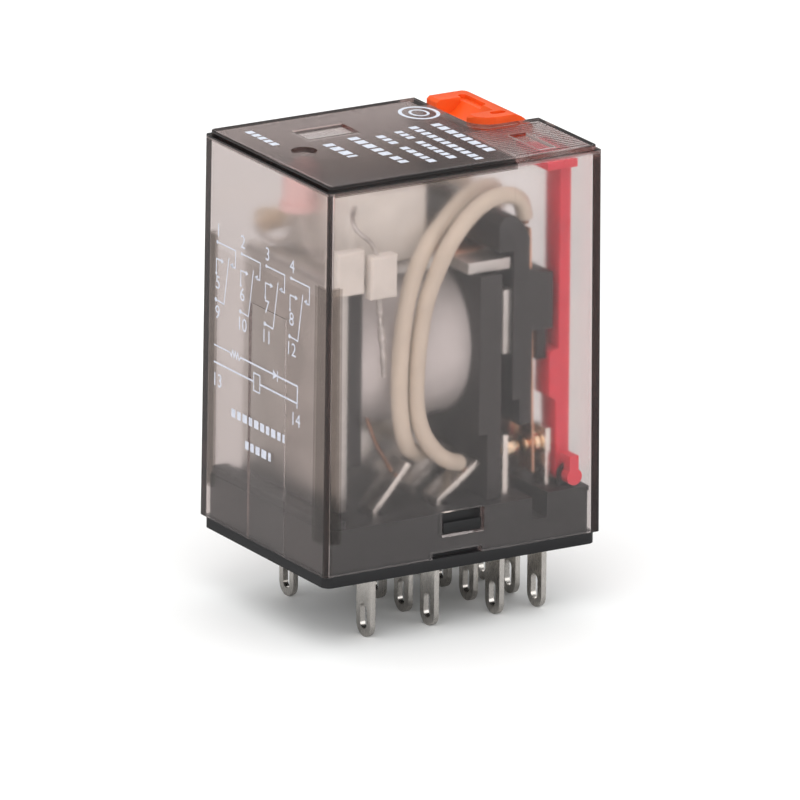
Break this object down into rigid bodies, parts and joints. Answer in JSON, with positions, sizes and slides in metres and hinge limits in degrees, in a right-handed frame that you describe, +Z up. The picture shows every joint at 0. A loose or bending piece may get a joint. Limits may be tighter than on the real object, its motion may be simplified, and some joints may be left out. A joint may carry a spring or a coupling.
{
  "type": "plug-in control relay",
  "caption": "Plug-in control relay: clear smoke cover over a coil, changeover contacts and a red flag, with an orange test lever and flat blades.",
  "frame": {"origin": "centre of the base's flat seating face; the blades reach below it", "axes": "+Z up towards the lid, +X from the coil end to the contact end, -Y out of the wide front face"},
  "size_m": [0.028, 0.0216, 0.0431],
  "materials": {
    "smoke_cover": "clear smoke polycarbonate, smooth outside, fine texture inside",
    "black_base": "fine moulded texture",
    "black_bobbin": "fine moulded texture",
    "black_carrier": "fine moulded texture",
    "nickel": "nickel plated, stamped",
    "nickel_frame": "nickel plated, satin",
    "soft_iron": "turned",
    "copper": "bare copper",
    "clear_tape": "wound polyester tape",
    "spring_bronze": "rolled phosphor bronze",
    "contact_alloy": "silver alloy, gold flash",
    "red_plastic": "moulded",
    "orange_plastic": "moulded, satin",
    "beige_sleeve": "silicone rubber sleeve",
    "lamp_pink": "tinted epoxy lens",
    "tinned_wire": "tinned",
    "resistor_body": "lacquered",
    "white_plastic": "moulded"
  },
  "bodies": {
    "housing": {"base": "black_base", "bobbin": "black_bobbin", "coil_ends": "copper", "coil_tape": "clear_tape", "coil_terminal_1": "nickel", "coil_terminal_2": "nickel", "coil_winding": "copper", "common_terminal_1": "nickel", "common_terminal_2": "nickel", "common_terminal_3": "nickel", "common_terminal_4": "nickel", "core": "soft_iron", "cover": "smoke_cover", "flag_pin": "soft_iron", "hinge_spring": "spring_bronze", "hinge_spring_rivets": "nickel_frame", "joint_insulators": "white_plastic", "joint_wires": "tinned_wire", "lamp": "lamp_pink", "lamp_wires": "tinned_wire", "lead_braids": "copper", "lead_sleeve_1": "beige_sleeve", "lead_sleeve_2": "beige_sleeve", "lead_sleeve_3": "beige_sleeve", "lead_sleeve_4": "beige_sleeve", "nc_contact_buttons": "contact_alloy", "nc_terminal_1": "nickel", "nc_terminal_2": "nickel", "nc_terminal_3": "nickel", "nc_terminal_4": "nickel", "no_contact_buttons": "contact_alloy", "no_terminal_1": "nickel", "no_terminal_2": "nickel", "no_terminal_3": "nickel", "no_terminal_4": "nickel", "resistor": "resistor_body", "shading_ring": "copper", "spacer_block": "white_plastic", "yoke": "nickel_frame"},
    "armature_set": {"armature": "nickel_frame", "contact_carrier": "black_carrier", "moving_contact_buttons": "contact_alloy", "moving_spring_1": "spring_bronze", "moving_spring_2": "spring_bronze", "moving_spring_3": "spring_bronze", "moving_spring_4": "spring_bronze"},
    "flag": {"flag_lever": "red_plastic"},
    "lever": {"test_lever": "orange_plastic"}
  },
  "joints": [
    {"name": "armature_swing", "type": "hinge", "parent": "housing", "child": "armature_set", "pos_m": [0.0058, 0, 0.0261], "axis": [0, 1, 0], "range_deg": [0, 1.6], "stiffness_Nm_per_rad": 0.01, "springref_deg": -5.73},
    {"name": "flag_swing", "type": "hinge", "parent": "housing", "child": "flag", "pos_m": [0.0117, 0, 0.0062], "axis": [0, 1, 0], "range_deg": [-1.4, 0.05]},
    {"name": "test_lever_flip", "type": "hinge", "parent": "housing", "child": "lever", "pos_m": [0.01185, 0, 0.035], "axis": [0, 1, 0], "range_deg": [-4, 90]}
  ],
  "couplings": [
    {"joint": "flag_swing", "follows": "armature_swing", "ratio": -0.85}
  ]
}
